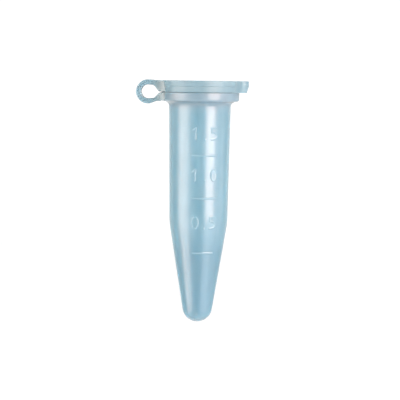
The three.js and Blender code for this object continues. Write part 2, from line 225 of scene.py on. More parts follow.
def closed_skin(
    name: str, grid: np.ndarray, first: np.ndarray, last: np.ndarray
) -> bpy.types.Object:
    """A closed mesh from a grid whose columns run round, its two end rows closed by fans.

    Args:
        name: The piece's name.
        grid: Points in millimetres, in rows, columns and coordinates.
        first: The point that closes the first row.
        last: The point that closes the last row.

    Returns:
        The mesh object, at the origin, with its faces outwards.
    """
    rows, columns, _ = grid.shape
    points = np.vstack([grid.reshape(-1, 3), first, last]) * MM
    row, column = np.meshgrid(np.arange(rows - 1), np.arange(columns), indexing="ij")
    here = row * columns + column
    beside = row * columns + (column + 1) % columns
    quads = np.stack([here, beside, beside + columns, here + columns], axis=-1).reshape(-1, 4)
    ring, ahead = np.arange(columns), np.roll(np.arange(columns), -1)
    end = (rows - 1) * columns
    low = np.stack([np.full(columns, rows * columns), ahead, ring], axis=-1)
    high = np.stack([np.full(columns, rows * columns + 1), end + ring, end + ahead], axis=-1)
    fans = np.vstack([low, high])
    triangles = points[np.vstack([fans, quads[:, :3], quads[:, [0, 2, 3]]])]
    volume = np.einsum("ij,ij->", triangles[:, 0], np.cross(triangles[:, 1], triangles[:, 2]))
    if volume < 0:
        quads, fans = quads[:, ::-1], fans[:, ::-1]
    mesh = bpy.data.meshes.new(name)
    mesh.vertices.add(len(points))
    mesh.vertices.foreach_set("co", points.astype(np.float32).ravel())
    mesh.loops.add(quads.size + fans.size)
    mesh.loops.foreach_set("vertex_index", np.concatenate([quads.ravel(), fans.ravel()]))
    mesh.polygons.add(len(quads) + len(fans))
    starts = [np.arange(len(quads)) * 4, quads.size + np.arange(len(fans)) * 3]
    mesh.polygons.foreach_set("loop_start", np.concatenate(starts))
    mesh.update(calc_edges=True)
    mesh.validate()
    mesh.shade_smooth()
    mesh.set_sharp_from_angle(angle=math.radians(50))
    piece = bpy.data.objects.new(name, mesh)
    bpy.context.scene.collection.objects.link(piece)
    return piece


def put_values(piece: bpy.types.Object, name: str, values: np.ndarray) -> None:
    """Stores one number a vertex, for a material to read.

    Args:
        piece: The mesh object.
        name: The attribute's name.
        values: A number for each vertex.
    """
    attribute = piece.data.attributes.new(name, "FLOAT", "POINT")
    attribute.data.foreach_set("value", values.astype(np.float32))


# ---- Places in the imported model, in millimetres ----


@dataclass(frozen=True)
class Extent:
    """A CAD node's box, in millimetres."""

    low: np.ndarray
    high: np.ndarray

    @classmethod
    def of(cls, node: str) -> "Extent":
        """The box of the named node."""
        low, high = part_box(node)
        return cls(np.array(low) / MM, np.array(high) / MM)

    @property
    def middle(self) -> np.ndarray:
        """The box's centre."""
        return (self.low + self.high) / 2

    @property
    def size(self) -> np.ndarray:
        """The box's sides."""
        return self.high - self.low


# ---- Materials ----


def linear(colour: str) -> tuple[float, float, float, float]:
    """An sRGB colour, written as six hex digits, as linear light with alpha 1."""
    s = np.array([int(colour[i : i + 2], 16) for i in (0, 2, 4)]) / 255
    light = np.where(s <= 0.04045, s / 12.92, ((s + 0.055) / 1.055) ** 2.4)
    return (*light.tolist(), 1.0)


def add_node(
    tree: bpy.types.NodeTree,
    kind: str,
    settings: dict[str, Any] | None = None,
    values: dict[str | int, Any] | None = None,
) -> bpy.types.Node:
    """Adds a node to a tree, with its settings and what its sockets hold or are joined to.

    Args:
        tree: The node tree.
        kind: The node's type name.
        settings: Properties of the node.
        values: For each input socket, a value or the output socket that it is joined to.

    Returns:
        The node.
    """
    node = tree.nodes.new(kind)
    for key, value in (settings or {}).items():
        setattr(node, key, value)
    for key, value in (values or {}).items():
        if isinstance(value, bpy.types.NodeSocket):
            tree.links.new(value, node.inputs[key])
        else:
            node.inputs[key].default_value = value
    return node


@dataclass(frozen=True)
class MouldedPolypropylene:
    """Injection-moulded polypropylene, clarified and tinted pale blue.

    Polypropylene is a milky, slightly waxy plastic: light goes through a thin wall but is
    scattered on the way. Its index of refraction is 1.49. The mould's polish gives the skin a
    soft satin gloss, the melt leaves faint clouds and drawn-out flow lines, and shrinkage
    leaves a fine orange peel. Where the wall is thick, at the collar and at the strap's roots,
    more light is scattered and the plastic looks milkier and duller. Down the cone the colour
    is mixed towards a darker, deeper blue: this is painted shade, not a different plastic.
    Raised graduations come from a blasted part of the mould, so they are rougher and paler.
    Lengths are in millimetres.
    """

    name: str
    tint: str
    cloud: str
    thick: str
    # Colour of the painted shade that darkens the cone.
    painted_cone_shade: str
    frost: str
    transmission: float
    roughness: float
    gloss: float
    thick_dulling: float = 0.55
    absorbed: str = "8FC4D6"
    absorption: float = 150.0
    ior: float = 1.49
    scatter_length: float = 0.6
    coat_roughness: float = 0.2
    roughness_spread: float = 0.04
    raised_roughening: float = 0.15
    cloud_share: float = 0.6
    cloud_size: float = 5.0
    flow_width: float = 1.1
    flow_length: float = 14.0
    peel_size: float = 0.45
    peel_depth: float = 0.012
    peel_strength: float = 0.25

    def material(self) -> bpy.types.Material:
        """Builds the node material.

        Returns:
            The material.
        """
        material = bpy.data.materials.new(self.name)
        material.use_nodes = True
        tree = material.node_tree
        tree.nodes.clear()
        place = add_node(tree, "ShaderNodeTexCoord").outputs["Object"]
        # The third attribute says how much painted shade darkens the cone.
        relief, thickness, cone_shade_share = (
            add_node(tree, "ShaderNodeAttribute", {"attribute_name": name}).outputs["Fac"]
            for name in ("relief", "thickness", "cone_shade_share")
        )
        clouds = self._noise(tree, place, self.cloud_size, self.cloud_size, 3.0)
        flow = self._noise(tree, place, self.flow_width, self.flow_length, 2.0)
        both = self._multiply_add(tree, clouds, self.cloud_share, 0.0)
        both = self._multiply_add(tree, flow, 1 - self.cloud_share, both)
        patches = add_node(
            tree,
            "ShaderNodeMapRange",
            {"interpolation_type": "SMOOTHSTEP"},
            {"Value": both, "From Min": 0.35, "From Max": 0.65},
        )
        body = self._mix(tree, patches.outputs[0], linear(self.tint), linear(self.cloud))
        # Painted shade: towards the tip the colour is mixed to a darker blue.
        with_cone_shade = self._mix(tree, cone_shade_share, body, linear(self.painted_cone_shade))
        milky = self._mix(tree, thickness, with_cone_shade, linear(self.thick))
        colour = self._mix(tree, relief, milky, linear(self.frost))
        rough = add_node(
            tree,
            "ShaderNodeMapRange",
            None,
            {
                "Value": both,
                "From Min": 0.3,
                "From Max": 0.7,
                "To Min": self.roughness - self.roughness_spread,
                "To Max": self.roughness + self.roughness_spread,
            },
        )
        rougher = self._multiply_add(tree, relief, self.raised_roughening, rough.outputs[0])
        peel = self._noise(tree, place, self.peel_size, self.peel_size, 1.0)
        bump = add_node(
            tree,
            "ShaderNodeBump",
            None,
            {
                "Height": peel,
                "Strength": self.peel_strength,
                "Distance": self.peel_depth * MM,
            },
        )
        coat = self.gloss
        if self.thick_dulling:
            dulling = -self.thick_dulling * self.gloss
            coat = self._multiply_add(tree, thickness, dulling, self.gloss)
        shader = add_node(
            tree,
            "ShaderNodeBsdfPrincipled",
            None,
            {
                "Base Color": colour,
                "Roughness": rougher,
                "IOR": self.ior,
                "Transmission Weight": self.transmission,
                "Subsurface Weight": 1.0,
                "Subsurface Radius": (1.0, 1.0, 1.0),
                "Subsurface Scale": self.scatter_length * MM,
                "Coat Weight": coat,
                "Coat Roughness": self.coat_roughness,
                "Coat IOR": self.ior,
                "Normal": bump.outputs[0],
            },
        )
        inside = add_node(
            tree,
            "ShaderNodeVolumeAbsorption",
            None,
            {"Color": linear(self.absorbed), "Density": self.absorption},
        )
        add_node(
            tree,
            "ShaderNodeOutputMaterial",
            None,
            {"Surface": shader.outputs[0], "Volume": inside.outputs[0]},
        )
        return material

    @staticmethod
    def _multiply_add(
        tree: bpy.types.NodeTree, value: bpy.types.NodeSocket, factor: float, addend: Any
    ) -> bpy.types.NodeSocket:
        """value * factor + addend."""
        node = add_node(
            tree,
            "ShaderNodeMath",
            {"operation": "MULTIPLY_ADD"},
            {0: value, 1: factor, 2: addend},
        )
        return node.outputs[0]

    @staticmethod
    def _noise(
        tree: bpy.types.NodeTree,
        place: bpy.types.NodeSocket,
        width: float,
        length: float,
        detail: float,
    ) -> bpy.types.NodeSocket:
        """Noise whose grains are width across and length up the tube, in millimetres."""
        scale = (1 / (width * MM), 1 / (width * MM), 1 / (length * MM))
        mapping = add_node(
            tree, "ShaderNodeMapping", {"vector_type": "POINT"}, {"Vector": place, "Scale": scale}
        )
        noise = add_node(
            tree,
            "ShaderNodeTexNoise",
            None,
            {"Vector": mapping.outputs[0], "Scale": 1.0, "Detail": detail, "Roughness": 0.5},
        )
        return noise.outputs["Fac"]

    @staticmethod
    def _mix(
        tree: bpy.types.NodeTree, factor: bpy.types.NodeSocket, low: Any, high: Any
    ) -> bpy.types.NodeSocket:
        """A colour between two colours."""
        node = add_node(
            tree,
            "ShaderNodeMix",
            {"data_type": "RGBA", "clamp_factor": True},
            {0: factor, 6: low, 7: high},
        )
        return node.outputs[2]


@dataclass(frozen=True)
class PaintedFloor:
    """Matt white studio paint, rolled, with the faint stipple of the roller."""

    name: str = "matt_white_studio_paint"
    paint: str = "FAFAFA"
    shade: str = "F4F5F5"
    stipple_size: float = 40.0

    def material(self) -> bpy.types.Material:
        """Builds the node material.

        Returns:
            The material.
        """
        material = bpy.data.materials.new(self.name)
        material.use_nodes = True
        tree = material.node_tree
        tree.nodes.clear()
        place = add_node(tree, "ShaderNodeTexCoord").outputs["Object"]
        noise = add_node(
            tree,
            "ShaderNodeTexNoise",
            None,
            {"Vector": place, "Scale": 1 / (self.stipple_size * MM), "Detail": 3.0},
        )
        colour = add_node(
            tree,
            "ShaderNodeMix",
            {"data_type": "RGBA"},
            {0: noise.outputs["Fac"], 6: linear(self.paint), 7: linear(self.shade)},
        )
        shader = add_node(
            tree,
            "ShaderNodeBsdfPrincipled",
            None,
            {"Base Color": colour.outputs[2], "Roughness": 0.9, "Specular IOR Level": 0.1},
        )
        add_node(tree, "ShaderNodeOutputMaterial", None, {"Surface": shader.outputs[0]})
        return material


TUBE_FINISH = MouldedPolypropylene(
    name="clarified_polypropylene_moulded",
    tint="71A6B8",
    cloud="7FB0C1",
    thick="8DAFBF",
    # Painted shade for the cone: a darker blue than the tint.
    painted_cone_shade="609AAF",
    frost="84B2C3",
    transmission=0.74,
    roughness=0.38,
    gloss=0.5,
)
LID_FINISH = MouldedPolypropylene(
    name="clarified_polypropylene_lid",
    tint="7197A6",
    cloud="7DA1AE",
    thick="7DA1AE",
    painted_cone_shade="7197A6",
    frost="A9C0C8",
    transmission=0.6,
    roughness=0.5,
    gloss=0.04,
    thick_dulling=0.0,
)
STRAP_FINISH = MouldedPolypropylene(
    name="clarified_polypropylene_strap",
    tint="436471",
    cloud="4D6C79",
    thick="4F6870",
    painted_cone_shade="436471",
    frost="8FAEB9",
    transmission=0.0,
    roughness=0.42,
    gloss=0.3,
    peel_depth=0.006,
)


# ---- Tube ----


class Figure(Enum):
    """The raised characters of the graduations."""

    ZERO = "0"
    ONE = "1"
    FIVE = "5"
    POINT = "."

    def path(self, width: float, height: float, stroke: float) -> np.ndarray:
        """The middle line of the character's stroke, centred on (0, 0).

        Args:
            width: Full width of a figure.
            height: Full height of a figure.
            stroke: Width of its stroke.

        Returns:
            The line's points, as rows of (across, up).
        """
        half_width, half_height = (width - stroke) / 2, (height - stroke) / 2
        match self:
            case Figure.ZERO:
                turn = np.linspace(0.0, 2 * np.pi, 41)
                return np.column_stack([half_width * np.cos(turn), half_height * np.sin(turn)])
            case Figure.ONE:
                flag = height * 0.2
                return np.array(
                    [(-flag, half_height - flag), (0, half_height), (0, -half_height)], float
                )
            case Figure.FIVE:
                bowl = half_height * 0.62
                turn = np.linspace(np.pi / 2, -np.pi / 2, 17)
                round_part = np.column_stack(
                    [
                        2 * half_width * np.cos(turn) - half_width,
                        bowl * np.sin(turn) - half_height + bowl,
                    ]
                )
                top = np.array([(half_width, half_height), (-half_width, half_height)])
                return np.vstack([top, round_part])
            case Figure.POINT:
                return np.array([(0.0, -half_height), (0.0, -half_height + 0.02)])


@dataclass(frozen=True)
class VesselWall:
    """Half section of the vessel's wall: rounded end, cone, long blend and drafted barrel."""

    seat_radius: float
    depth: float
    draft: float = math.radians(0.83)
    barrel_length: float = 20.7
    tip_radius: float = 2.55
    shoulder_radius: float = 16.0

    @property
    def tip_centre(self) -> float:
        """Height of the middle of the rounded end."""
        return self.tip_radius - self.depth

    @property
    def cone(self) -> float:
        """Half angle of the cone: its side leaves the barrel's end and touches the rounded end."""
        end_radius = self.seat_radius - self.barrel_length * math.tan(self.draft)
        rise = -self.barrel_length - self.tip_centre
        reach = math.hypot(end_radius, rise)
        return math.acos(self.tip_radius / reach) - math.atan2(rise, end_radius)

    def profile(self, inset: float, top: float) -> tuple[np.ndarray, np.ndarray]:
        """The wall's surface at an inset from the outside.

        The rounded end is an arc from the axis to where the cone touches it. Above that, the
        cone's line and the barrel's line are joined by an arc of the shoulder's radius.

        Args:
            inset: How far inside the outer surface.
            top: Height that the barrel is carried up to.

        Returns:
            The rounded end's points without the pole, and the points above it, both as rows of
            (radius, height) that rise.
        """
        radius = self.tip_radius - inset
        turn = np.linspace(0.0, math.pi / 2 - self.cone, 19)[1:]
        end = np.column_stack([radius * np.sin(turn), self.tip_centre - radius * np.cos(turn)])
        touch_radius, touch_height = end[-1]
        slope, lean = math.tan(self.cone), math.tan(self.draft)
        barrel = self.seat_radius - inset / math.cos(self.draft)
        climb = (barrel - touch_radius + touch_height * lean) / (slope - lean)
        corner = (touch_radius + climb * slope, touch_height + climb)
        above = rounded(
            [
                (touch_radius, touch_height, 0.0),
                (*corner, self.shoulder_radius - inset),
                (barrel + top * lean, top, 0.0),
            ],
            steps=24,
        )
        return end, above


@dataclass
class TubeShell:
    """The vessel with its mouth collar and raised graduations, as one closed skin."""

    wall: float = 0.88
    mouth_chamfer: float = 0.25
    mouth_edge_radius: float = 0.08
    mouth_lead_radius: float = 0.2
    fillet: float = 0.85
    fillet_reach: float = 1.6
    seat_rise: float = 0.08
    seat_drop: float = 0.15
    rim_underside_radius: float = 0.4
    rim_top_radius: float = 0.07
    relief: float = 0.07
    relief_slope: float = 0.16
    line_arc: float = math.radians(52)
    figure_relief: float = 0.88
    figure_width: float = 1.4
    figure_stroke: float = 0.34
    figure_spread: float = math.radians(36)
    point_share: float = 0.62
    milky_heights: tuple[float, float] = (-2.2, 0.2)
    # Heights between which the painted cone shade grows from none to full.
    cone_shade_heights: tuple[float, float] = (-20.0, -27.0)
    fine: float = 0.065
    coarse: float = 0.7
    coarse_turn: float = math.radians(4.5)
    marks_margin: float = 0.06
    bore_coarse: float = 1.2
    bore_fine: float = 0.4
    bore_shoulder: tuple[float, float] = (-24.0, -17.5)
    volumes: tuple[str, ...] = ("1_5", "1_0", "0_5")

    def __post_init__(self) -> None:
        """Reads the collar's, the vessel's and the graduations' places from the CAD nodes."""
        body, collar = Extent.of("tube_body"), Extent.of("mouth_collar")
        self.mouth_height = body.high[2]
        self.collar_radius = collar.high[0]
        draft = VesselWall.draft
        seat_radius = body.high[0] - self.mouth_height * math.tan(draft)
        self.wall_section = VesselWall(seat_radius=seat_radius, depth=-body.low[2])
        point = Extent.of(f"numeral_{self.volumes[0]}_point").middle
        self.marks_face = math.atan2(point[1], point[0])

    def build(self) -> bpy.types.Object:
        """Builds the shell and dresses it.

        Rows run from the lowest point up the outside, over the collar and the mouth and down
        the bore to the pole of its rounded end. The outside's radius is the wall's radius plus
        the relief of the graduations.

        Returns:
            The piece.
        """
        end, above = self.wall_section.profile(0.0, self.mouth_height)
        fillet_foot = -self.fillet * self.fillet_reach
        heights = graded(end[-1, 1], fillet_foot, self.coarse, self.fine, self._mark_zones())
        radii = np.interp(heights, above[:, 1], above[:, 0])
        directions = self._directions()
        relief = self._relief(heights, radii, directions)
        outside = turned(radii[:, None] + self.relief * relief, heights, directions)
        skirt = turned(end[:-1, 0], end[:-1, 1], directions)
        lip = self._lip(fillet_foot)
        mouth = turned(lip[1:, 0], lip[1:, 1], directions)
        bore_end, bore_above = self.wall_section.profile(self.wall, self.mouth_height)
        bore_heights = graded(
            bore_end[-1, 1], lip[-1, 1], self.bore_coarse, self.bore_fine, [self.bore_shoulder]
        )[:-1]
        bore_radii = np.interp(bore_heights, bore_above[:, 1], bore_above[:, 0])
        bore = turned(bore_radii[::-1], bore_heights[::-1], directions)
        bowl = turned(bore_end[-2::-1, 0], bore_end[-2::-1, 1], directions)
        grid = np.concatenate([skirt, outside, mouth, bore, bowl])
        depth = self.wall_section.depth
        piece = closed_skin(
            "tube_shell", grid, np.array([0, 0, -depth]), np.array([0, 0, self.wall - depth])
        )
        frost = np.zeros(grid.shape[:2])
        frost[len(skirt) : len(skirt) + len(outside)] = relief
        put_values(piece, "relief", np.concatenate([frost.ravel(), [0.0, 0.0]]))
        thick = smoothstep(*self.milky_heights, grid[..., 2]).ravel()
        put_values(piece, "thickness", np.concatenate([thick, [0.0, 0.0]]))
        # Painted shade down the cone: none above the first height, full below the second.
        painted_cone_shade = smoothstep(*self.cone_shade_heights, grid[..., 2]).ravel()
        put_values(piece, "cone_shade_share", np.concatenate([painted_cone_shade, [1.0, 1.0]]))
        piece.data.materials.append(TUBE_FINISH.material())
        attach(piece, Body.TUBE.value)
        parts = ["units", "point", "tenths"]
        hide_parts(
            "tube_body",
            "mouth_collar",
            *[f"graduation_line_{volume}" for volume in self.volumes],
            *[f"numeral_{volume}_{part}" for volume in self.volumes for part in parts],
        )
        return piece

    def _lip(self, foot: float) -> np.ndarray:
        """The collar's section and the mouth's, from the fillet's foot to the top of the bore."""
        section = self.wall_section
        seat = section.seat_radius
        bore = seat - self.wall / math.cos(section.draft)
        lean = math.tan(section.draft)
        mouth = self.mouth_height
        lead, end = mouth - self.mouth_chamfer, mouth - 2 * self.mouth_chamfer
        line = rounded(
            [
                (seat + foot * lean, foot, 0.0),
                (seat, -self.seat_drop, self.fillet),
                (self.collar_radius, self.seat_rise, self.rim_underside_radius),
                (self.collar_radius, mouth, self.rim_top_radius),
                (bore + self.mouth_chamfer, mouth, self.mouth_edge_radius),
                (bore + lead * lean, lead, self.mouth_lead_radius),
                (bore + end * lean, end, 0.0),
            ],
            steps=8,
        )
        return filled_in(line, 0.5)

    def _mark_zones(self) -> list[tuple[float, float]]:
        """The heights that hold graduations, as (low, high) from the lowest up."""
        nodes = [f"graduation_line_{v}" for v in self.volumes]
        nodes += [f"numeral_{v}_tenths" for v in self.volumes]
        margin = self.relief_slope
        boxes = [Extent.of(node) for node in nodes]
        return sorted((box.low[2] - margin, box.high[2] + margin) for box in boxes)

    def _directions(self) -> np.ndarray:
        """The columns' directions: close together where the graduations are."""
        half = self.line_arc / 2 + self.marks_margin
        start = self.marks_face - math.pi
        fine = self.fine / self.wall_section.seat_radius
        zone = (self.marks_face - half, self.marks_face + half)
        return graded(start, start + 2 * math.pi, self.coarse_turn, fine, [zone])[:-1]

    def _relief(self, heights: np.ndarray, radii: np.ndarray, directions: np.ndarray) -> np.ndarray:
        """How far the marks stand out, from 0 to 1, at each row and direction.

        A mark's height is a smoothstep of how far a point lies inside the edge of its stroke.
        A line's edge is a rectangle's, wrapped round the wall.

        Args:
            heights: Height of each row.
            radii: Radius of the wall at each row.
            directions: Direction of each column.

        Returns:
            The relief, in rows and columns.
        """
        turn = directions - self.marks_face
        up = np.repeat(heights[:, None], len(directions), axis=1)
        relief = np.zeros_like(up)
        slope = self.relief_slope
        for volume in self.volumes:
            line = Extent.of(f"graduation_line_{volume}")
            inside_up = line.size[2] / 2 - np.abs(up - line.middle[2])
            inside_along = (self.line_arc / 2 - np.abs(turn)) * radii[:, None]
            inside = np.minimum(inside_up, inside_along)
            relief = np.maximum(relief, smoothstep(0.0, slope, inside))
            tenths = Extent.of(f"numeral_{volume}_tenths")
            middle = tenths.middle[2]
            here = np.interp(middle, heights, radii)
            rows = np.abs(heights - middle) < tenths.size[2]
            figures = (Figure(volume[0]), Figure.POINT, Figure(volume[-1]))
            for place, figure in zip((-0.5, 0.0, 0.5), figures):
                across = (turn[None, :] - place * self.figure_spread) * here
                across = np.repeat(across, rows.sum(), axis=0)
                path = figure.path(self.figure_width, tenths.size[2], self.figure_stroke)
                away = distance_to_path(across, up[rows] - middle, path)
                thick = self.figure_stroke * (self.point_share if figure is Figure.POINT else 0.5)
                mark = smoothstep(0.0, slope, thick - away)
                relief[rows] = np.maximum(relief[rows], self.figure_relief * mark)
        return relief


# ---- Lid ----


@dataclass
class LidShell:
    """The lid's plate, rim, sealing plug and thumb tab, as one closed skin."""

    rim_wall: float = 0.95
    plug_wall: float = 0.8
    plug_bead_depth: float = 0.8
    bead_radius: float = 4.33
    tip_radius: float = 3.95
    edge_radius: float = 0.14
    tab_corner: float = 1.3
    tab_undercut: float = 0.3
    tab_blend: float = 0.2
    step_radius: float = 0.06

    def __post_init__(self) -> None:
        """Reads the lid's places from its CAD nodes."""
        plate, rim = Extent.of("lid_plate"), Extent.of("lid_rim")
        plug, tab = Extent.of("sealing_plug"), Extent.of("thumb_tab")
        self.top, self.plate_bottom, self.plate_radius = plate.high[2], plate.low[2], plate.high[0]
        self.seat, self.rim_radius = rim.low[2], rim.high[0]
        self.plug_bottom = plug.low[2]
        self.root_radius = self.bead_radius - 0.07
        self.tab_reach, self.tab_half_width = tab.high[0], tab.high[1]

    def build(self) -> bpy.types.Object:
        """Builds the lid and dresses it.

        Rows run from the middle of the top face outwards, down the edge and the rim, under the
        groove between rim and plug, down and round the plug and up its hollow to the middle of
        the underside. In the tab's directions the outer rows reach out to the tab's outline.

        Returns:
            The piece.
        """
        outer = self._edge_section()
        inner = self._under_section()
        tab = math.atan2(self.tab_half_width, self.tab_reach - self.tab_corner)
        directions = graded(
            -math.pi, math.pi, math.radians(4.0), math.radians(0.5), [(-1.35 * tab, 1.35 * tab)]
        )[:-1]
        outer_radii = self._with_tab(outer, directions)
        heights = np.concatenate([outer[:, 1], inner[:, 1]])
        radii = np.vstack([outer_radii, np.repeat(inner[:, :1], len(directions), axis=1)])
        grid = turned(radii, heights, directions)
        piece = closed_skin(
            "lid_shell", grid, np.array([0, 0, self.top]), np.array([0, 0, inner[-1, 1]])
        )
        piece.data.materials.append(LID_FINISH.material())
        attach(piece, Body.LID.value)
        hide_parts("lid_plate", "lid_rim", "sealing_plug", "thumb_tab")
        return piece

    def _edge_section(self) -> np.ndarray:
        """(radius, height, tab's reach) from the flat top to the rim's lower inner edge."""
        step = self.plate_radius - self.rim_radius
        line = rounded(
            [
                (0.5, self.top, 0.0),
                (self.plate_radius, self.top, self.edge_radius),
                (self.plate_radius, self.plate_bottom, self.step_radius),
                (self.rim_radius, self.plate_bottom - step * 0.4, self.step_radius),
                (self.rim_radius, self.seat, self.step_radius),
                (self.rim_radius - self.rim_wall, self.seat, 0.0),
            ],
            steps=6,
        )
        line = filled_in(line, 0.55)
        drawn_in = smoothstep(self.plate_bottom, self.seat, line[:, 1]) * self.tab_undercut
        behind_edge = np.where(line[:, 1] > self.plate_bottom, self.plate_radius, self.rim_radius)
        reach = self.tab_reach - (behind_edge - line[:, 0]) - drawn_in
        return np.column_stack([line, reach])

    def _under_section(self) -> np.ndarray:
        """(radius, height) from the rim's inner edge over the groove, round the plug and in."""
        ceiling = self.plate_bottom
        bore_side = self.tip_radius - self.plug_wall
        beads = self.seat - 0.06
        line = rounded(
            [
                (self.rim_radius - self.rim_wall, self.seat, 0.0),
                (self.rim_radius - self.rim_wall, ceiling, 0.2),
                (self.root_radius, ceiling, 0.2),
                (self.root_radius, beads - self.plug_bead_depth * 0.5, 0.6),
                (self.bead_radius, beads - self.plug_bead_depth, 0.5),
                (self.tip_radius, self.plug_bottom, 0.2),
                (bore_side, self.plug_bottom, 0.25),
                (bore_side, ceiling, 0.5),
                (0.4, ceiling, 0.0),
            ],
            steps=6,
        )
        return filled_in(line, 0.5)[1:]

    def _with_tab(self, section: np.ndarray, directions: np.ndarray) -> np.ndarray:
        """Each row's radius in each direction, with the tab's rounded rectangle reaching out.

        Seen from the axis, the tab's outline is its side y = w at w / sin a, its front x = reach
        at reach / cos a, and between them its corner arc, the far root of
        r^2 - 2 r (c . d) + |c|^2 - k^2 = 0 for the corner's centre c, radius k and direction d.
        The row's own circle and that outline are joined by (p + q + sqrt((p - q)^2 + b^2)) / 2,
        which is the larger of the two with a small fillet.

        Args:
            section: (radius, height, tab's reach) of each row.
            directions: Direction of each column.

        Returns:
            The radii, in rows and columns.
        """
        turn = np.abs(directions)[None, :]
        circle, reach = section[:, :1], section[:, 2:3]
        inset = (self.tab_reach - reach).clip(0.0, None)
        half = self.tab_half_width - inset * 0.5
        corner = self.tab_corner
        side = half / np.maximum(np.sin(turn), 1e-6)
        front = reach / np.maximum(np.cos(turn), 1e-6)
        along = (reach - corner) * np.cos(turn) + (half - corner) * np.sin(turn)
        square = (reach - corner) ** 2 + (half - corner) ** 2
        arc = along + np.sqrt(np.maximum(along**2 - square + corner**2, 0.0))
        front_end = np.arctan2(half - corner, reach)
        side_end = np.arctan2(half, reach - corner)
        outline = np.where(turn < front_end, front, np.where(turn < side_end, arc, side))
        outline = np.where(turn > math.pi / 2, 0.0, outline)
        blend = self.tab_blend * smoothstep(0.0, 2.0, circle)
        joined = (circle + outline + np.sqrt((circle - outline) ** 2 + blend**2)) / 2
        near_edge = smoothstep(self.plate_radius - 1.6, self.plate_radius - 0.2, circle)
        under = section[:, 1:2] < self.top - 1e-6
        share = np.where(under, 1.0, near_edge)
        return circle + (joined - circle) * share


# ---- Strap ----


@dataclass(frozen=True)
class StrapRoot:
    """Where the strap grows out of a round edge, in the frame of its own run of the loop.

    Heights are measured from the middle of the run, towards the middle of the loop. The outer
    face tucks in by a little where it enters the edge, so that it stays inside the rounding.
    """

    edge_radius: float
    outer_level: float
    gusset_level: float
    buried: float
    tuck: float


